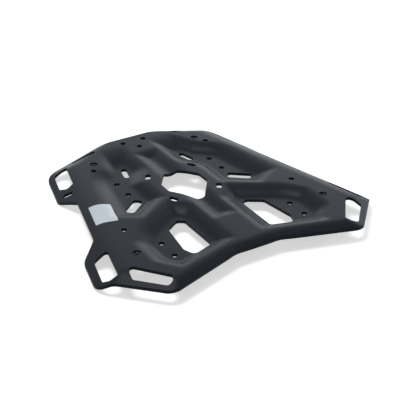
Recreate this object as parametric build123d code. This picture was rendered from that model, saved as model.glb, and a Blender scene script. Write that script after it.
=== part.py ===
# Pressed aluminium luggage rack for the tail of a motorcycle, in millimetres.
# X runs across the bike, +Y to its rear, +Z up. Everything is drawn with the top of
# the flat deck at z = 0, then moved until the middle of its length is at y = 0 and the
# lowest edge stands on the ground plane.
import os
from math import cos, hypot, radians, sin, tan

from build123d import *

os.makedirs("parts", exist_ok=True)

sheet = 4.0            # thickness, measured straight down as a press leaves it
pocket_depth = 8.0     # depth of the four big pressed pockets
groove_depth = 4.5     # depth of the groove along the middle
rim_r = 16.0           # radius where the deck rolls over into a pocket
floor_r = 6.0         # radius where a wall meets a pocket floor
corner_reach = 4.5     # how much of each wall the rounding of a pocket's corner takes
corner_cap = 40.0      # its radius between two walls that nearly line up
groove_rim_r, groove_reach = 12.0, 2.0   # rim and corners of the narrow groove, whose floor is creased

# Folds of the border: heading of the outward normal in degrees from +X, distance of the
# fold line from the middle, bend radius and final slope. Right-hand side, then mirrored.
side_fold = (14.3, 118.7, 40.0, 33.0)
rear_fold = (60.0, 162.0, 22.0, 29.0)
corner_fold = (-42.9, 186.4, 38.0, 18.0)
front_fold = (-90.0, 126.8, 28.0, 24.0)
front_side_fold = (-106.1, 113.0, 28.0, 24.0)

# Right half of the outline from the rear edge round to the front edge: x, y, corner radius.
outline = [
    (31.7, 172.5, 14), (126.2, 160.2, 19), (142.7, 92.0, 8), (131.0, 58.8, 5),
    (153.2, -29.8, 16), (177.2, -51.0, 14), (190.8, -107.6, 16), (128.0, -173.0, 12),
    (29.7, -142.2, 40),
]

# Pocket floors on the right: x, y of each corner and the run in plan of the wall that
# follows it, counter-clockwise. A longer run is a gentler wall.
rear_pocket = [
    (54, 15, 12), (83, -4.5, 13), (94, 2, 16), (79.5, 79, 14), (73.5, 89.5, 13),
    (60, 100, 12), (51, 117, 24), (36, 117, 12), (36, 92, 14), (54, 64, 11),
]
front_pocket = [
    (35, -107.5, 11.5), (93, -124.3, 12), (104, -110, 13), (104, -74, 13),
    (94, -61, 15), (43, -30, 14), (35, -38, 12),
]
groove = [(-3.5, -59, 9), (3.5, -59, 10), (3.5, 112, 10), (-3.5, 112, 10)]

bolt_d = 7.0           # clearance for 6 mm bolts
pitch = 30.0           # spacing of every bolt pair
bolt_holes = [
    (pitch / 2, 158.3), (83.0, 109.7), (68.2, 60.2 + pitch / 2), (68.2, 60.2 - pitch / 2),
    (118.4, -38.9), (90.0, -91.7 + pitch / 2), (90.0, -91.7 - pitch / 2),
]
middle_hole = (0.0, 140.6)

nut_seats = {"rear": (75.0, 125.5), "front": (129.2, -90.6)}
nut_hole_d = 9.6       # hole in the sheet that takes the shank
nut_fit = 0.05         # radial gap round the shank
nut_shank = 2.2        # how far the shank reaches up into the sheet
nut_flats, nut_height = 12.0, 4.5   # hexagon under the sheet
thread_bore_d = 5.0    # core of an M6 thread

# Straight slots on the right: middle x, y, length, width, heading of the long axis, corner r.
slots = [
    (45.0, 96.2, 24.0, 7.6, -76.0, 3.6),      # strap slot in the rear pocket
    (76.2, 15.6, 31.0, 12.6, -39.0, 5.0),     # wide slot at the pocket's front
    (32.0, 60.0, 12.0, 7.0, -62.0, 3.3),      # hub slot, rear
    (32.5, -5.8, 12.0, 7.0, 62.0, 3.3),       # hub slot, front
    (129.8, 89.0, 13.0, 6.0, 42.0, 2.6),      # small slot in the rear wing
]
# Openings with their own corners on the right: x, y, corner radius.
centre_opening = [
    (9, 59.5, 5), (27.5, 34, 7), (27.5, 14, 7), (6, -15, 5),
    (-6, -15, 5), (-27.5, 14, 7), (-27.5, 34, 7), (-9, 59.5, 5),
]
big_opening = [
    (41, -46, 4), (49, -41, 5), (67.5, -53, 6), (74.5, -101, 8),
    (69, -116.5, 7), (41, -107, 4),
]
rear_wing_opening = [
    (103.9, 148, 4), (115.6, 101.4, 4), (125.3, 101.6, 4), (130.1, 112.5, 6), (121.2, 147.5, 5),
]
rear_edge_opening = [(51, 162, 3), (92, 156, 3), (94, 149, 3), (60, 154, 3)]
front_wing_opening = [
    (153.8, -65, 4), (166, -115.3, 4), (176.2, -114.6, 4), (181.6, -107, 4), (171, -65, 5),
]
corner_opening = [
    (149, -110.5, 4), (117.8, -150.7, 4), (121.5, -158, 4), (129, -161.5, 4),
    (156.8, -131, 4), (154.5, -119, 5),
]


def fold(heading, start, bend, slope, reach=130):
    # The space above a bent border: flat to the fold line, an arc, then a straight slope.
    out = Vector(cos(radians(heading)), sin(radians(heading)), 0)
    along = out.cross(Vector(0, 0, 1))
    plane = Plane(origin=out * start - along * 300, x_dir=out, z_dir=along)
    turn = radians(slope)
    knee = (bend * sin(turn), -bend * (1 - cos(turn)))
    foot = (reach, knee[1] - (reach - knee[0]) * tan(turn))
    edge = TangentArc((0, 0), knee, tangent=(1, 0)) + Polyline(knee, foot, (reach, 20), (0, 20), (0, 0))
    return extrude(plane * make_face(edge), 600)


def spread(corners, share):
    # Corners of a floor pushed outwards, each wall by its own run times share.
    pushed = []
    for (ax, ay, a_run), (bx, by, b_run), (cx, cy, _) in zip(
        corners[-1:] + corners[:-1], corners, corners[1:] + corners[:1]
    ):
        a, b = hypot(bx - ax, by - ay), hypot(cx - bx, cy - by)
        nx, ny = (by - ay) / a, (ax - bx) / a
        mx, my = (cy - by) / b, (bx - cx) / b
        p, q = nx * bx + ny * by + a_run * share, mx * bx + my * by + b_run * share
        det = nx * my - ny * mx
        pushed.append(((p * my - q * ny) / det, (nx * q - mx * p) / det))
    return pushed


def pressing(corners, depth, reach, floor, above=4.0):
    # The punch of a pocket: flat floor, a sloping wall on every side. Given a reach it has
    # rounded corners, each with a radius to suit its angle, and a rounded floor.
    low = [Vector(x, y, -depth) for x, y in spread(corners, 0)]
    high = [Vector(x, y, above) for x, y in spread(corners, 1 + above / depth)]
    walls = [
        Face(Wire.make_polygon([low[i - 1], low[i], high[i], high[i - 1]]))
        for i in range(len(low))
    ]
    punch = Solid(Shell([Face(Wire.make_polygon(low)), Face(Wire.make_polygon(high))] + walls))
    if not reach:
        return punch
    for i in range(len(low)):
        turn = walls[i].normal_at().get_angle(walls[(i + 1) % len(low)].normal_at())
        upright = punch.edges().filter_by(lambda e: e.bounding_box().size.Z > 1)
        corner = upright.sort_by_distance((low[i] + high[i]) / 2)[0]
        punch = fillet(corner, min(corner_cap, reach / tan(radians(turn / 2))))
    if floor:
        punch = fillet(punch.edges().filter_by(lambda e: e.bounding_box().max.Z < 0.01 - depth), floor)
    return punch


def rounded(points):
    # A closed outline whose corners each have their own radius.
    face = make_face(Polyline(*[(x, y) for x, y, _ in points], close=True))
    for x, y, r in points:
        face = fillet(face.vertices().sort_by_distance((x, y, 0))[0], r)
    return face


def through(face):
    return extrude(Pos(0, 0, -60) * face, 120)


def both_sides(shape):
    return [shape, mirror(shape, Plane.YZ)]


def pressed_form(soft):
    # A block whose top face is one face of the finished sheet. The soft one has rounded
    # corners, floors and rims, the other has plain creases there.
    form = Pos(0, 0, -35) * Box(420, 380, 70)
    for bend in (side_fold, rear_fold, corner_fold):
        for cut in both_sides(fold(*bend)):
            form -= cut
    front_left, front_right = both_sides(fold(*front_side_fold))
    form -= fold(*front_fold) & front_left & front_right
    for corners in (rear_pocket, front_pocket):
        for punch in both_sides(pressing(corners, pocket_depth, soft and corner_reach, floor_r)):
            form -= punch
    form -= pressing(groove, groove_depth, soft and groove_reach, 0)
    if soft:
        for middle, radius in ((True, groove_rim_r), (False, rim_r)):
            deck = form.faces().filter_by(Plane.XY).sort_by(Axis.Z)[-1]
            rims = [rim for rim in deck.inner_wires() if (abs(rim.bounding_box().center().X) < 1) == middle]
            form = fillet([edge for rim in rims for edge in rim.edges()], radius)
    return form


# The sheet lies between the soft form and a creased one that is one thickness lower.
blank = through(rounded(outline + [(-x, y, r) for x, y, r in reversed(outline)]))
plate = (pressed_form(True) - Pos(0, 0, -sheet) * pressed_form(False)) & blank

openings = [through(rounded(centre_opening))]
for points in (big_opening, rear_wing_opening, rear_edge_opening, front_wing_opening, corner_opening):
    openings += both_sides(through(rounded(points)))
for x, y, length, width, heading, r in slots:
    slot = Pos(x, y) * Rot(0, 0, heading) * RectangleRounded(length, width, r)
    openings += both_sides(through(slot))
for x, y in bolt_holes:
    openings += both_sides(through(Pos(x, y) * Circle(bolt_d / 2)))
openings.append(through(Pos(*middle_hole) * Circle(bolt_d / 2)))
for x, y in nut_seats.values():
    openings += both_sides(through(Pos(x, y) * Circle(nut_hole_d / 2)))
plate -= openings

# One press-in nut: a hexagon against the underside, a shank up in the sheet, a threaded bore.
nut = extrude(RegularPolygon(nut_flats / 2, 6, major_radius=False), -nut_height)
nut += Cylinder(nut_hole_d / 2 - nut_fit, nut_shank, align=(Align.CENTER, Align.CENTER, Align.MIN))
nut -= Cylinder(thread_bore_d / 2, 40)

reach = plate.bounding_box()
lift = Pos(0, -reach.center().Y, -reach.min.Z)
export_step(lift * plate, "parts/rack_plate.step")
for end, (x, y) in nut_seats.items():
    for side, way in (("right", 1), ("left", -1)):
        seat = lift * Pos(way * x, y, -sheet)
        export_step(seat * nut, f"parts/press_nut_{end}_{side}.step")
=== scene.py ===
# Luggage rack for the tail of a motorcycle, on a pale studio floor.
# The plate is made again from the same sizes with softer pressings, rounded cut edges and
# a satin powder coat. The four press-in nuts get real threads, and a blank silver sticker
# follows the left fold.
from math import atan2, cos, pi, radians, sin, sqrt, tan

import bmesh
import bpy
import numpy as np
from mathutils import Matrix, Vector
from mathutils.geometry import delaunay_2d_cdt


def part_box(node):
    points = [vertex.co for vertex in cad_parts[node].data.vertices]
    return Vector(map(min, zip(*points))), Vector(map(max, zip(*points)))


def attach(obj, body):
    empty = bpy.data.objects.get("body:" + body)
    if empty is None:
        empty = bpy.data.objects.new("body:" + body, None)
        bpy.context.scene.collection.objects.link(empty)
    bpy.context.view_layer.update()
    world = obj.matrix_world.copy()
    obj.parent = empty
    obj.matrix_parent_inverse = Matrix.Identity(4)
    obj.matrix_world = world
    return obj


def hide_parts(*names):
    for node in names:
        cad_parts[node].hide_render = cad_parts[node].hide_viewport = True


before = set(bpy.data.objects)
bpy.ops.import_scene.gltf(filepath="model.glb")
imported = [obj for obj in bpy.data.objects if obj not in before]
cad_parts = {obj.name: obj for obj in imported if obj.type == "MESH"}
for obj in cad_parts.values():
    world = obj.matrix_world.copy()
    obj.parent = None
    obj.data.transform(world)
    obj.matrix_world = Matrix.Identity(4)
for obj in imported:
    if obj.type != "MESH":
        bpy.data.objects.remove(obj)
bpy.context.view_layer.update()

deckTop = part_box("rack_plate")[1].z      # level of the flat deck, in metres
middleShift = -0.000587                  # the drawing's middle lies this far behind the frame's
print("frame loaded, deck at", round(deckTop, 5))


# Small helpers.
def newMaterial(name):
    material = bpy.data.materials.new(name)
    material.use_nodes = True
    nodes, links = material.node_tree.nodes, material.node_tree.links
    return material, nodes, links, nodes["Principled BSDF"]


def addNoise(nodes, links, vector, scale, detail=3.0, roughness=0.5):
    noise = nodes.new("ShaderNodeTexNoise")
    noise.inputs["Scale"].default_value = scale
    noise.inputs["Detail"].default_value = detail
    noise.inputs["Roughness"].default_value = roughness
    links.new(vector, noise.inputs["Vector"])
    return noise.outputs["Fac"]


def addRange(nodes, links, value, low, high, fromLow=0.3, fromHigh=0.7):
    spread = nodes.new("ShaderNodeMapRange")
    numbers = {"From Min": fromLow, "From Max": fromHigh, "To Min": low, "To Max": high}
    for socket, number in numbers.items():
        spread.inputs[socket].default_value = number
    links.new(value, spread.inputs["Value"])
    return spread.outputs["Result"]


def addMix(nodes, links, factor, first, second):
    mix = nodes.new("ShaderNodeMix")
    mix.data_type = "RGBA"
    links.new(factor, mix.inputs["Factor"])
    mix.inputs["A"].default_value = (*first, 1)
    mix.inputs["B"].default_value = (*second, 1)
    return mix.outputs["Result"]


def addBump(nodes, links, height, strength, distance, under=None):
    bump = nodes.new("ShaderNodeBump")
    bump.inputs["Strength"].default_value = strength
    bump.inputs["Distance"].default_value = distance
    links.new(height, bump.inputs["Height"])
    if under is not None:
        links.new(under, bump.inputs["Normal"])
    return bump.outputs["Normal"]


def meshObject(name, vertices, faces, material, smooth=True):
    mesh = bpy.data.meshes.new(name)
    mesh.from_pydata(vertices, [], faces)
    mesh.validate()
    mesh.polygons.foreach_set("use_smooth", [smooth] * len(mesh.polygons))
    mesh.materials.append(material)
    piece = bpy.data.objects.new(name, mesh)
    bpy.context.scene.collection.objects.link(piece)
    return piece


def turnOutwards(piece):
    # Every face's normal out of the closed mesh.
    work = bmesh.new()
    work.from_mesh(piece.data)
    bmesh.ops.recalc_face_normals(work, faces=work.faces)
    work.to_mesh(piece.data)
    work.free()


# Camera.
cameraSet = {
    "lens": 98.74, "sensor": 36.0,        # mm
    "aim": (0.0023, -0.0292, 0.012),
    "azimuth": -31.61,                    # degrees, 0 looks along +Y
    "elevation": 29.86,
    "distance": 1.3903,
}
azimuth, elevation = radians(cameraSet["azimuth"]), radians(cameraSet["elevation"])
back = Vector((sin(azimuth) * cos(elevation), -cos(azimuth) * cos(elevation), sin(elevation)))
cameraData = bpy.data.cameras.new("camera")
cameraData.lens = cameraSet["lens"]
cameraData.sensor_width = cameraSet["sensor"]
cameraData.clip_end = 50
camera = bpy.data.objects.new("camera", cameraData)
camera.location = Vector(cameraSet["aim"]) + back * cameraSet["distance"]
camera.rotation_euler = back.to_track_quat("Z", "Y").to_euler()
bpy.context.scene.collection.objects.link(camera)
bpy.context.scene.camera = camera
print("camera placed")


# Powder coat on the plate.
coatSet = {
    "dark": (0.003, 0.0055, 0.010),
    "light": (0.0045, 0.0075, 0.0125),
    "smoothest": 0.36,
    "roughest": 0.43,
    "shine": 0.09,                        # specular level
    "cloudScale": 14, "grainScale": 900,  # of the patches in colour and in roughness
    "peelScale": 420, "peel": 0.10, "peelDepth": 0.0004,       # orange peel, depths in metres
    "speckScale": 2600, "speck": 0.06, "speckDepth": 0.0001,
    "edge": (0.09, 0.094, 0.10),          # paler on the cut edges: a painted highlight along them
    "highlightFrom": 0.54, "highlightTo": 0.62,     # pointiness where the painted highlight starts and is full
}
powderCoat, nodes, links, shader = newMaterial("powderCoat")
place = nodes.new("ShaderNodeTexCoord").outputs["Object"]
cloud = addNoise(nodes, links, place, coatSet["cloudScale"], detail=4)
grain = addNoise(nodes, links, place, coatSet["grainScale"], detail=2)
peel = addNoise(nodes, links, place, coatSet["peelScale"], detail=2, roughness=0.4)
speck = addNoise(nodes, links, place, coatSet["speckScale"], detail=1)
# Painted highlight: the sharp cut edges, found by their pointiness, get a paler colour.
pointy = nodes.new("ShaderNodeNewGeometry").outputs["Pointiness"]
rim = addRange(nodes, links, pointy, 0, 1, coatSet["highlightFrom"], coatSet["highlightTo"])
body = addMix(nodes, links, cloud, coatSet["dark"], coatSet["light"])
edgeHighlightMix = addMix(nodes, links, rim, coatSet["dark"], coatSet["edge"])
links.new(body, edgeHighlightMix.node.inputs["A"])
links.new(edgeHighlightMix, shader.inputs["Base Color"])
satin = addRange(nodes, links, grain, coatSet["smoothest"], coatSet["roughest"])
links.new(satin, shader.inputs["Roughness"])
peelBump = addBump(nodes, links, peel, coatSet["peel"], coatSet["peelDepth"])
speckBump = addBump(nodes, links, speck, coatSet["speck"], coatSet["speckDepth"], peelBump)
links.new(speckBump, shader.inputs["Normal"])
shader.inputs["Specular IOR Level"].default_value = coatSet["shine"]


# The pressed plate.
plateSet = {
    "sheet": 4.0,                          # mm, like every size here
    "edgeRound": 0.5, "edgeRoom": 0.6,     # radius of the cut edges, width of the ring beside them
    "mesh": 2.2, "edgeMesh": 2.4,          # spacing of the points on the sheet and along its edges
    "grid": (400, 370),                    # size of the grid of points on the sheet
    "rowShare": 0.866,                     # spacing of its rows, in spacings of its points
    "gridClear": 0.45,                     # how far it keeps off the rings, in spacings
    "arcStep": 11.0,                       # degrees between points round a corner
    "holePoints": 40,
    "pocketDepth": 8.0, "grooveDepth": 4.5,
    "rimBlend": 6.0, "floorBlend": 3.0, "cornerBlend": 2.5,    # softness of the pressings
    "foldBlend": 3.0, "foldShare": 0.8,    # of the folds where they meet: most, and per mm down
    "frontBlend": 6.0,                     # softness of the bends along the front edge
    "joinBlend": 2.0,                      # softness where a pocket's two parts join
    "joinReach": 8.0, "joinRun": 5.0,      # where a joining side's wall stands and its run
    "folds": [                             # heading, distance, bend radius, slope
        (14.3, 118.7, 40.0, 33.0), (60.0, 162.0, 22.0, 29.0), (-42.9, 186.4, 38.0, 18.0),
    ],
    "frontFolds": [(-90.0, 126.8), (-106.1, 113.0), (-73.9, 113.0)],
    "frontBend": (28.0, 24.0),
    # Floor corners and the run of the wall that follows each one. The rear pocket is two
    # overlapping parts, and a run of 0 is a side where they join.
    "rearPocket": [
        [(54, 15, 12), (83, -4.5, 13), (94, 2, 16), (79.5, 79, 14), (73.5, 89.5, 13),
         (60, 100, 0), (54, 64, 11)],
        [(60, 100, 12), (51, 117, 24), (36, 117, 12), (36, 92, 14), (54, 64, 0)],
    ],
    "frontPocket": [
        [(35, -107.5, 11.5), (93, -124.3, 12), (104, -110, 13), (104, -74, 13),
         (94, -61, 15), (43, -30, 14), (35, -38, 12)],
    ],
    "groove": [[(-3.5, -59, 9), (3.5, -59, 10), (3.5, 112, 10), (-3.5, 112, 10)]],
    # Right half of the outline and the openings: x, y, corner radius.
    "outline": [
        (31.7, 172.5, 14), (126.2, 160.2, 19), (142.7, 92.0, 18), (131.0, 58.8, 5),
        (153.2, -29.8, 16), (177.2, -51.0, 16), (190.8, -107.6, 22), (128.0, -173.0, 17),
        (29.7, -142.2, 40),
    ],
    "centreOpening": [
        (9, 59.5, 5), (27.5, 34, 7), (27.5, 14, 7), (6, -15, 5),
        (-6, -15, 5), (-27.5, 14, 7), (-27.5, 34, 7), (-9, 59.5, 5),
    ],
    "sideOpenings": [
        [(41, -46, 4), (49, -41, 5), (67.5, -53, 6), (74.5, -101, 8), (69, -116.5, 7),
         (41, -107, 4)],
        [(103.9, 148, 4), (115.6, 101.4, 4), (125.3, 101.6, 4), (130.1, 112.5, 6),
         (121.2, 147.5, 5)],
        [(51, 162, 3), (92, 156, 3), (94, 149, 3), (60, 154, 3)],
        [(153.8, -65, 4), (166, -115.3, 4), (176.2, -114.6, 4), (181.6, -107, 4),
         (171, -65, 5)],
        [(149, -110.5, 4), (117.8, -150.7, 4), (121.5, -158, 4), (129, -161.5, 4),
         (156.8, -131, 4), (154.5, -119, 5)],
    ],
    "slots": [                             # middle, length, width, heading, corner radius
        (45.0, 96.2, 24.0, 7.6, -76.0, 3.6), (76.2, 15.6, 31.0, 12.6, -39.0, 5.0),
        (32.0, 60.0, 12.0, 7.0, -62.0, 3.3), (32.5, -5.8, 12.0, 7.0, 62.0, 3.3),
        (129.8, 89.0, 13.0, 6.0, 42.0, 2.6),
    ],
    "boltRadius": 3.5, "nutRadius": 4.8,
    "boltHoles": [
        (15.0, 158.3), (83.0, 109.7), (68.2, 75.2), (68.2, 45.2), (118.4, -38.9),
        (90.0, -76.7), (90.0, -106.7),
    ],
    "nutHoles": [(75.0, 125.5), (129.2, -90.6)],               # rear, front
    "middleHole": (0.0, 140.6),
}


def softMin(a, b, blend):
    near = np.maximum(blend - np.abs(a - b), 0) / blend      # 1 where a is b, 0 past the blend
    return np.minimum(a, b) - near * near * blend / 4


def softMax(a, b, blend):
    return -softMin(-a, -b, blend)


def bentPlane(u, bend, slope):
    # A slope and the blend that makes its bend with the deck as wide as the real arc.
    turn = radians(slope)
    return -(u - bend * tan(turn / 2)) * tan(turn), tan(turn) * bend * sin(turn) / 2


def wallHeights(part, depth, x, y):
    # Height of a pocket's walls, rising from its floor corners, rounded where they meet.
    height = None
    joinReach, joinRun = plateSet["joinReach"], plateSet["joinRun"]
    for (ax, ay, run), (bx, by, _) in zip(part, part[1:] + part[:1]):
        length = sqrt((bx - ax) ** 2 + (by - ay) ** 2)
        away = ((x - ax) * (by - ay) - (y - ay) * (bx - ax)) / length
        wall = depth * ((away / run if run else (away - joinReach) / joinRun) - 1)
        height = wall if height is None else softMax(height, wall, plateSet["cornerBlend"])
    return height


def pressedHeight(x, y):
    # Height of the finished top face above the deck at points of the drawing, in mm.
    x = np.abs(x)
    z = np.zeros_like(x)
    bends = []
    for heading, start, bend, slope in plateSet["folds"]:
        bends.append((x * cos(radians(heading)) + y * sin(radians(heading)) - start, bend, slope))
    front = None
    for heading, start in plateSet["frontFolds"]:
        u = x * cos(radians(heading)) + y * sin(radians(heading)) - start
        front = u if front is None else softMin(front, u, plateSet["frontBlend"])
    for u, bend, slope in bends + [(front, *plateSet["frontBend"])]:
        plane, blend = bentPlane(u, bend, slope)
        bent = softMin(np.zeros_like(x), plane, blend)
        # Two folds run softly into each other, the more so the lower they are.
        soft = -plateSet["foldShare"] * np.maximum(z, bent)
        z = softMin(z, bent, np.clip(soft, 1e-4, plateSet["foldBlend"]))
    for parts, depth in (
        (plateSet["rearPocket"], plateSet["pocketDepth"]),
        (plateSet["frontPocket"], plateSet["pocketDepth"]),
        (plateSet["groove"], plateSet["grooveDepth"]),
    ):
        walls = None
        for part in parts:
            one = wallHeights(part, depth, x, y)
            walls = one if walls is None else softMin(walls, one, plateSet["joinBlend"])
        share = depth / plateSet["pocketDepth"]
        pocket = softMax(walls, np.full_like(x, -depth), plateSet["floorBlend"] * share)
        z = softMin(z, pocket, plateSet["rimBlend"] * share)
    return z


def roundLoop(corners, clockwise):
    # Points along a closed outline with rounded corners.
    area = sum(a[0] * b[1] - a[1] * b[0] for a, b in zip(corners, corners[1:] + corners[:1]))
    if (area < 0) != clockwise:
        corners = corners[::-1]
    loop = []
    for before, here, after in zip(
        corners[-1:] + corners[:-1], corners, corners[1:] + corners[:1]
    ):
        p, r = Vector(here[:2]), here[2]
        into = (p - Vector(before[:2])).normalized()
        onward = (Vector(after[:2]) - p).normalized()
        turn = atan2(into.x * onward.y - into.y * onward.x, into.dot(onward))
        reach = r * tan(abs(turn) / 2)
        middle = p + (onward - into).normalized() * (r / cos(turn / 2))
        steps = max(2, int(abs(turn) / radians(plateSet["arcStep"])))
        first = p - into * reach - middle
        for k in range(steps + 1):
            spoke = first.copy()
            angle = turn * k / steps
            loop.append((middle.x + spoke.x * cos(angle) - spoke.y * sin(angle),
                         middle.y + spoke.x * sin(angle) + spoke.y * cos(angle)))
    full = []
    for a, b in zip(loop, loop[1:] + loop[:1]):
        dx, dy = b[0] - a[0], b[1] - a[1]
        parts = max(1, int(sqrt(dx ** 2 + dy ** 2) / plateSet["edgeMesh"]))
        full += [(a[0] + dx * k / parts, a[1] + dy * k / parts) for k in range(parts)]
    return np.array(full)


def circleLoop(x, y, radius):
    angles = -np.arange(plateSet["holePoints"]) * 2 * pi / plateSet["holePoints"]
    return np.stack([x + radius * np.cos(angles), y + radius * np.sin(angles)], 1)


def plateLoops():
    # The outline counter-clockwise and every opening clockwise, so the sheet is on the left.
    half = plateSet["outline"]
    loops = [roundLoop(half + [(-x, y, r) for x, y, r in reversed(half)], False)]
    loops.append(roundLoop(plateSet["centreOpening"], True))
    loops.append(circleLoop(*plateSet["middleHole"], plateSet["boltRadius"]))
    for way in (1, -1):
        for corners in plateSet["sideOpenings"]:
            loops.append(roundLoop([(way * x, y, r) for x, y, r in corners], True))
        for x, y, length, width, heading, r in plateSet["slots"]:
            c, s = cos(radians(heading)), sin(radians(heading))
            a, b = length / 2, width / 2
            ends = [(a, b), (-a, b), (-a, -b), (a, -b)]
            slot = [(way * (x + a * c - b * s), y + a * s + b * c, r) for a, b in ends]
            loops.append(roundLoop(slot, True))
        for holes, radius in (("boltHoles", "boltRadius"), ("nutHoles", "nutRadius")):
            loops += [circleLoop(way * x, y, plateSet[radius]) for x, y in plateSet[holes]]
    return loops


def insetLoop(loop, distance):
    # The loop moved into the sheet, point for point.
    along = np.roll(loop, -1, 0) - np.roll(loop, 1, 0)
    along /= np.linalg.norm(along, axis=1)[:, None]
    return loop + np.stack([-along[:, 1], along[:, 0]], 1) * distance


def insideSheet(points, loops):
    # True for each point on the sheet, where a ray crosses the loops an odd number of times.
    inside = np.zeros(len(points), bool)
    for loop in loops:
        for (ax, ay), (bx, by) in zip(loop, np.roll(loop, -1, 0)):
            if ay == by:
                continue
            crossed = (ay > points[:, 1]) != (by > points[:, 1])
            inside ^= crossed & (points[:, 0] < ax + (points[:, 1] - ay) * (bx - ax) / (by - ay))
    return inside


def makePlate():
    # One closed mesh: the top as a height field, the underside one thickness lower, and
    # rounded edges between them.
    loops, gap, edge = plateLoops(), plateSet["mesh"], plateSet["edgeRound"]
    room = edge + plateSet["edgeRoom"]
    rims = [insetLoop(loop, edge) for loop in loops]
    supports = [insetLoop(loop, room) for loop in loops]
    # A grid of even triangles, kept a little off the rings.
    (wide, tall), rowShare = plateSet["grid"], plateSet["rowShare"]
    columns, rows = int(wide / gap), int(tall / (gap * rowShare))
    grid = np.array([
        ((k + (row % 2) / 2 - columns / 2) * gap, (row - rows / 2) * gap * rowShare)
        for row in range(rows + 1) for k in range(columns + 1)
    ])
    clear = room + gap * plateSet["gridClear"]
    grid = grid[insideSheet(grid, [insetLoop(loop, clear) for loop in loops])]
    points, edges = [], []
    for ring in rims + supports:
        first = len(points)
        points += [tuple(p) for p in ring]
        edges += [(first + k, first + (k + 1) % len(ring)) for k in range(len(ring))]
    points += [tuple(p) for p in grid]
    points = [Vector(p) for p in points]
    flat, _, triangles, origin, _, _ = delaunay_2d_cdt(points, edges, [], 0, 1e-5)
    flat = np.array([tuple(p) for p in flat])
    triangles = np.array(triangles)
    newIndex = {source: k for k, sources in enumerate(origin) for source in sources}
    # The rims with the triangles' own rounding, or slivers outside a straight rim would stay.
    starts = np.cumsum([0] + [len(rim) for rim in rims])
    drawn = [flat[[newIndex[k] for k in range(a, b)]] for a, b in zip(starts, starts[1:])]
    triangles = triangles[insideSheet(flat[triangles].mean(1), drawn)]
    top = pressedHeight(flat[:, 0], flat[:, 1])
    vertices = [(x, y, z) for (x, y), z in zip(flat, top)]
    vertices += [(x, y, z - plateSet["sheet"]) for (x, y), z in zip(flat, top)]
    count = len(flat)
    faces = [tuple(t) for t in triangles.tolist()]
    faces += [(a + count, c + count, b + count) for a, b, c in triangles.tolist()]
    # Round the cut edges: rings from the top face over the edge and down to the underside.
    start = 0
    arcs = [(edge * (1 - sin(pi / 8 * k)), edge * (1 - cos(pi / 8 * k))) for k in (1, 2, 3, 4)]
    for loop in loops:
        size = len(loop)
        bands = [[newIndex[start + k] for k in range(size)]]
        heights = pressedHeight(loop[:, 0], loop[:, 1])
        for inset, drop in arcs + [(i, plateSet["sheet"] - d) for i, d in reversed(arcs)]:
            ring = insetLoop(loop, inset)
            first = len(vertices)
            vertices += [(x, y, z - drop) for (x, y), z in zip(ring, heights)]
            bands.append(list(range(first, first + size)))
        bands.append([newIndex[start + k] + count for k in range(size)])
        for upper, lower in zip(bands, bands[1:]):
            for k in range(size):
                after = (k + 1) % size
                faces.append((upper[k], lower[k], lower[after], upper[after]))
        start += size
    vertices = [(x / 1000, y / 1000 + middleShift, deckTop + z / 1000) for x, y, z in vertices]
    return meshObject("pressedPlate", vertices, faces, powderCoat)


plate = makePlate()
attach(plate, "root")
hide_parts("rack_plate")
print("plate pressed,", len(plate.data.polygons), "faces")


# Press-in nuts.
nutSet = {
    "ends": ("rear", "front"),             # one for each of the plate's nut holes
    "flats": 12.0, "height": 4.5, "chamfer": 0.6, "cone": 0.15,
    "shankRadius": 4.75, "shankHeight": 2.2,
    "coreRadius": 2.5, "threadRadius": 3.0, "pitch": 1.0, "rowsPerTurn": 8,
    "flank": 1.45, "flat": 0.2,            # steepness of the thread's flanks, width of its roots
    "runOut": 5, "endOpening": 0.25,       # rows in which the thread ends, how far the bore opens
    "mouth": 0.1,                          # how much wider than the thread the bore's chamfer is
    "knurls": 40, "knurlDepth": 0.12, "steps": 240,
    "shankBevel": [(0.25, 0.0), (0.06, 0.08), (0.0, 0.3)],     # inwards, down from the top
    "hexBevel": [(0.35, 0.0), (0.1, 0.1), (0.0, 0.35)],        # inwards, down from the sheet
    "footBevel": (0.08, 0.25), "coneSlope": 0.5,               # the same at its foot, up from it
    # The zinc is set far darker than bare zinc: painted shade, as the nuts sit in shadow inside
    # their holes.
    "dark": (0.03, 0.03, 0.033), "light": (0.06, 0.06, 0.064),
    "smoothest": 0.28, "roughest": 0.46,
    "stainScale": 260, "scratchScale": 3200, "scratch": 0.12, "scratchDepth": 0.00005,
}
zincPlate, nodes, links, shader = newMaterial("zincPlate")
place = nodes.new("ShaderNodeTexCoord").outputs["Object"]
stain = addNoise(nodes, links, place, nutSet["stainScale"], detail=4)
scratch = addNoise(nodes, links, place, nutSet["scratchScale"], detail=2)
# Random stains over the darkened zinc, whose low level is painted shade.
stainedAndShaded = addMix(nodes, links, stain, nutSet["dark"], nutSet["light"])
links.new(stainedAndShaded, shader.inputs["Base Color"])
satin = addRange(nodes, links, scratch, nutSet["smoothest"], nutSet["roughest"])
links.new(satin, shader.inputs["Roughness"])
scratched = addBump(nodes, links, scratch, nutSet["scratch"], nutSet["scratchDepth"])
links.new(scratched, shader.inputs["Normal"])
shader.inputs["Metallic"].default_value = 1.0


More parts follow.
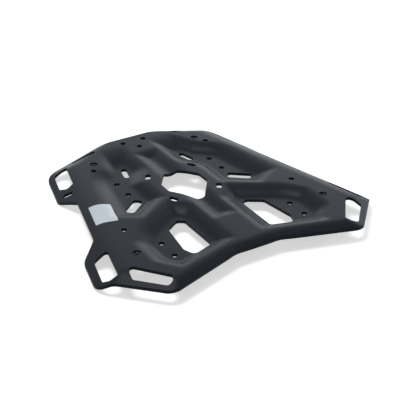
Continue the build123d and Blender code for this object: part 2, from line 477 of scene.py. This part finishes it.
def nutSection(angle):
    # Radius and height of the points of one half section: from the bore's foot up the
    # thread, over the top and down outside.
    core, crest, pitch = nutSet["coreRadius"], nutSet["threadRadius"], nutSet["pitch"]
    top, foot, cut = nutSet["shankHeight"], -nutSet["height"], nutSet["chamfer"]
    threaded = top - foot - 2 * cut
    rows = int(threaded / pitch * nutSet["rowsPerTurn"])
    mouth, runOut = crest + nutSet["mouth"], nutSet["runOut"]
    section = [(mouth, foot)]
    for row in range(rows + 1):
        z = foot + cut + threaded * row / rows
        turn = (z / pitch - angle / (2 * pi)) % 1
        # Flat roots and crests with straight flanks, running out at each end.
        depth = min(1, max(0, nutSet["flank"] * (1 - abs(2 * turn - 1)) - nutSet["flat"]))
        ends = min(1, row / runOut, (rows - row) / runOut)
        opening = nutSet["endOpening"] * (1 - ends)
        section.append((core + (crest - core) * depth * ends + opening, z))
    ridge = 0.5 - 0.5 * cos(angle * nutSet["knurls"])
    slim = nutSet["shankRadius"] - nutSet["knurlDepth"] * ridge
    section.append((mouth, top))
    section += [(slim - inwards, top - down) for inwards, down in nutSet["shankBevel"]]
    section.append((slim, 0.0))
    # The hexagon, its corners turned down by a cone at the foot.
    wide = nutSet["flats"] / 2 / cos(angle % (pi / 3) - pi / 6)
    cone = nutSet["flats"] / 2 - nutSet["cone"]
    low = foot + max(0.0, wide - cone) * nutSet["coneSlope"]
    inset, rise = nutSet["footBevel"]
    section += [(wide - inwards, -down) for inwards, down in nutSet["hexBevel"]]
    section += [(wide, low + rise), (wide - inset, low), (cone, foot)]
    return section


def makeNut(name, x, y):
    # The section turned round the bore's axis; the hexagon lies against the underside.
    steps, under = nutSet["steps"], deckTop - plateSet["sheet"] / 1000
    vertices, faces = [], []
    for step in range(steps):
        angle = 2 * pi * step / steps
        section = nutSection(angle)
        for r, z in section:
            r /= 1000
            vertices.append((x + r * cos(angle), y + r * sin(angle), under + z / 1000))
    count = len(section)
    for step in range(steps):
        here, beyond = step * count, (step + 1) % steps * count
        for k in range(count):
            after = (k + 1) % count
            faces.append((here + k, here + after, beyond + after, beyond + k))
    nut = meshObject(name, vertices, faces, zincPlate)
    turnOutwards(nut)
    return nut


for end, (x, y) in zip(nutSet["ends"], plateSet["nutHoles"]):
    for side, way in (("right", 1), ("left", -1)):
        nut = makeNut(f"threadedNut_{end}_{side}", way * x / 1000, y / 1000 + middleShift)
        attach(nut, "root")
        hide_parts(f"press_nut_{end}_{side}")
print("nuts threaded")


# Blank sticker on the left border.
stickerSet = {
    "heading": 14.3,                      # degrees, outward normal of the side
    "across": (106.0, 133.0),             # mm from the middle, square to the side
    "along": (-44.0, -0.4),               # mm along the side
    "corner": 1.6, "thickness": 0.14, "lift": 0.03,
    "cornerRows": 6, "rows": 20, "columns": 30,
    "dark": (0.35, 0.385, 0.42), "light": (0.42, 0.455, 0.495),
    "smoothest": 0.34, "roughest": 0.48, "metallic": 0.35,
    "brushScale": 2400, "brushStretch": 0.06, "brush": 0.10, "brushDepth": 0.00003,
    "cloudScale": 55,
    "crispFrom": 50,                      # degrees between faces from which an edge is sharp
}


def stickerPoint(d, s, height):
    # The point d across and s along, at a height square to the plate's surface.
    heading, small = radians(stickerSet["heading"]), 0.25
    x = np.array([(d + a) * cos(heading) - s * sin(heading) for a in (-small, 0, small)])
    y = np.array([(d + a) * sin(heading) + s * cos(heading) for a in (-small, 0, small)])
    z = pressedHeight(x, y)
    slope = (z[2] - z[0]) / (2 * small)
    size = sqrt(1 + slope * slope)
    x = x[1] - slope / size * height * cos(heading)
    y = y[1] - slope / size * height * sin(heading)
    return (-x / 1000, y / 1000 + middleShift, deckTop + (z[1] + height / size) / 1000)


def makeSticker():
    # A thin closed film over the fold, its corners rounded by drawing in the end rows.
    near, far = stickerSet["across"]
    low, high = stickerSet["along"]
    r, columns = stickerSet["corner"], stickerSet["columns"]
    turns, straight = stickerSet["cornerRows"], stickerSet["rows"]
    ends = [r * (1 - cos(pi / 2 * k / turns)) for k in range(turns + 1)]
    rows = [low + e for e in ends]
    rows += [low + r + (high - low - 2 * r) * k / straight for k in range(1, straight)]
    rows += [high - e for e in reversed(ends)]
    vertices, faces = [], []
    for height in (stickerSet["lift"], stickerSet["lift"] + stickerSet["thickness"]):
        for s in rows:
            edge = max(0.0, r - min(s - low, high - s))
            inset = r - sqrt(max(0.0, r * r - edge * edge))
            for k in range(columns + 1):
                d = near + inset + (far - near - 2 * inset) * k / columns
                vertices.append(stickerPoint(d, s, height))
    wide, tall = columns + 1, len(rows)
    for layer in range(2):
        for row in range(tall - 1):
            for k in range(columns):
                a = layer * wide * tall + row * wide + k
                faces.append((a, a + 1, a + wide + 1, a + wide))
    border = list(range(wide)) + [row * wide + columns for row in range(1, tall)]
    border += [(tall - 1) * wide + k for k in range(columns - 1, -1, -1)]
    border += [row * wide for row in range(tall - 2, 0, -1)]
    for k, a in enumerate(border):
        b = border[(k + 1) % len(border)]
        faces.append((a, b, b + wide * tall, a + wide * tall))
    return meshObject("silverSticker", vertices, faces, silverFoil)


silverFoil, nodes, links, shader = newMaterial("silverFoil")
place = nodes.new("ShaderNodeTexCoord").outputs["Object"]
turned = nodes.new("ShaderNodeMapping")
turned.inputs["Rotation"].default_value = (0, 0, radians(stickerSet["heading"]))
turned.inputs["Scale"].default_value = (1, stickerSet["brushStretch"], 1)
links.new(place, turned.inputs["Vector"])
brushed = addNoise(nodes, links, turned.outputs["Vector"], stickerSet["brushScale"], detail=2)
cloudy = addNoise(nodes, links, place, stickerSet["cloudScale"], detail=3)
silver = addMix(nodes, links, cloudy, stickerSet["dark"], stickerSet["light"])
links.new(silver, shader.inputs["Base Color"])
satin = addRange(nodes, links, brushed, stickerSet["smoothest"], stickerSet["roughest"])
links.new(satin, shader.inputs["Roughness"])
brushBump = addBump(nodes, links, brushed, stickerSet["brush"], stickerSet["brushDepth"])
links.new(brushBump, shader.inputs["Normal"])
shader.inputs["Metallic"].default_value = stickerSet["metallic"]
sticker = makeSticker()
turnOutwards(sticker)
crisp = sticker.modifiers.new("crispRim", "EDGE_SPLIT")
crisp.split_angle = radians(stickerSet["crispFrom"])
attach(sticker, "root")
print("sticker laid")


# Floor, light and world.
studioSet = {
    "floorDark": (0.62, 0.62, 0.62), "floorPale": (0.65, 0.65, 0.65),
    "floorHalf": 8.0,                      # metres from the middle to the floor's edge
    "floorRoughness": 0.9, "mottleScale": 6,
    "glow": 0.59,                          # what lifts the floor to white for the camera
    "glowReach": (0.4, 2.2),               # metres from the middle between which it grows to 1
    "world": (1.0, 1.0, 1.0), "worldStrength": 0.28,
    "distance": 1.6,                       # of the lamps, in metres
    "lamps": {                             # heading from +X, height, watts, size, tint
        "topSoftbox": (140, 78, 18.0, 0.75, (1.0, 1.0, 1.0)),
        "rightStrip": (18, 17, 4.8, 0.8, (0.88, 0.95, 1.0)),
        "middleStrip": (50, 15, 3.0, 0.8, (0.88, 0.95, 1.0)),
        "rearStrip": (80, 15, 2.4, 0.8, (0.88, 0.95, 1.0)),
    },
}


def seenDirectly(nodes, links):
    # 1 for rays from the camera, off metal or through glass, else 0.
    rays = nodes.new("ShaderNodeLightPath")
    seen = rays.outputs["Is Camera Ray"]
    for ray in ("Is Glossy Ray", "Is Transmission Ray"):
        either = nodes.new("ShaderNodeMath")
        either.operation = "MAXIMUM"
        links.new(seen, either.inputs[0])
        links.new(rays.outputs[ray], either.inputs[1])
        seen = either.outputs[0]
    return seen


floorWhite, nodes, links, shader = newMaterial("floorWhite")
place = nodes.new("ShaderNodeTexCoord").outputs["Object"]
shader.inputs["Roughness"].default_value = studioSet["floorRoughness"]
soft = addNoise(nodes, links, place, studioSet["mottleScale"], detail=2)
mottled = addMix(nodes, links, soft, studioSet["floorDark"], studioSet["floorPale"])
links.new(mottled, shader.inputs["Base Color"])
away = nodes.new("ShaderNodeVectorMath")
away.operation = "LENGTH"
links.new(place, away.inputs[0])
spread = away.outputs["Value"]
fade = addRange(nodes, links, spread, studioSet["glow"], 1.0, *studioSet["glowReach"])
share = nodes.new("ShaderNodeMath")
share.operation = "MULTIPLY"
links.new(seenDirectly(nodes, links), share.inputs[0])
links.new(fade, share.inputs[1])
glow = nodes.new("ShaderNodeEmission")
glow.inputs["Color"].default_value = (1, 1, 1, 1)
links.new(share.outputs[0], glow.inputs["Strength"])
both = nodes.new("ShaderNodeAddShader")
links.new(shader.outputs[0], both.inputs[0])
links.new(glow.outputs[0], both.inputs[1])
links.new(both.outputs[0], nodes["Material Output"].inputs["Surface"])
half = studioSet["floorHalf"]
corners = [(-half, -half, 0), (half, -half, 0), (half, half, 0), (-half, half, 0)]
floor = meshObject("floor", corners, [(0, 1, 2, 3)], floorWhite, False)

world = bpy.data.worlds.new("studio")
bpy.context.scene.world = world
world.use_nodes = True
background = world.node_tree.nodes["Background"]
background.inputs["Color"].default_value = (*studioSet["world"], 1)
nodes, links = world.node_tree.nodes, world.node_tree.links
white = nodes.new("ShaderNodeMix")
white.inputs["A"].default_value = studioSet["worldStrength"]
white.inputs["B"].default_value = 1.0
links.new(seenDirectly(nodes, links), white.inputs["Factor"])
links.new(white.outputs["Result"], background.inputs["Strength"])

for name, (heading, height, power, size, tint) in studioSet["lamps"].items():
    heading, height = radians(heading), radians(height)
    toward = Vector((cos(heading) * cos(height), sin(heading) * cos(height), sin(height)))
    data = bpy.data.lights.new(name, "AREA")
    data.shape = "DISK"
    data.size = size
    data.energy = power
    data.color = tint
    lamp = bpy.data.objects.new(name, data)
    lamp.location = toward * studioSet["distance"]
    lamp.rotation_euler = toward.to_track_quat("Z", "Y").to_euler()
    bpy.context.scene.collection.objects.link(lamp)
bpy.context.scene.view_settings.view_transform = "Standard"
print("studio lit")
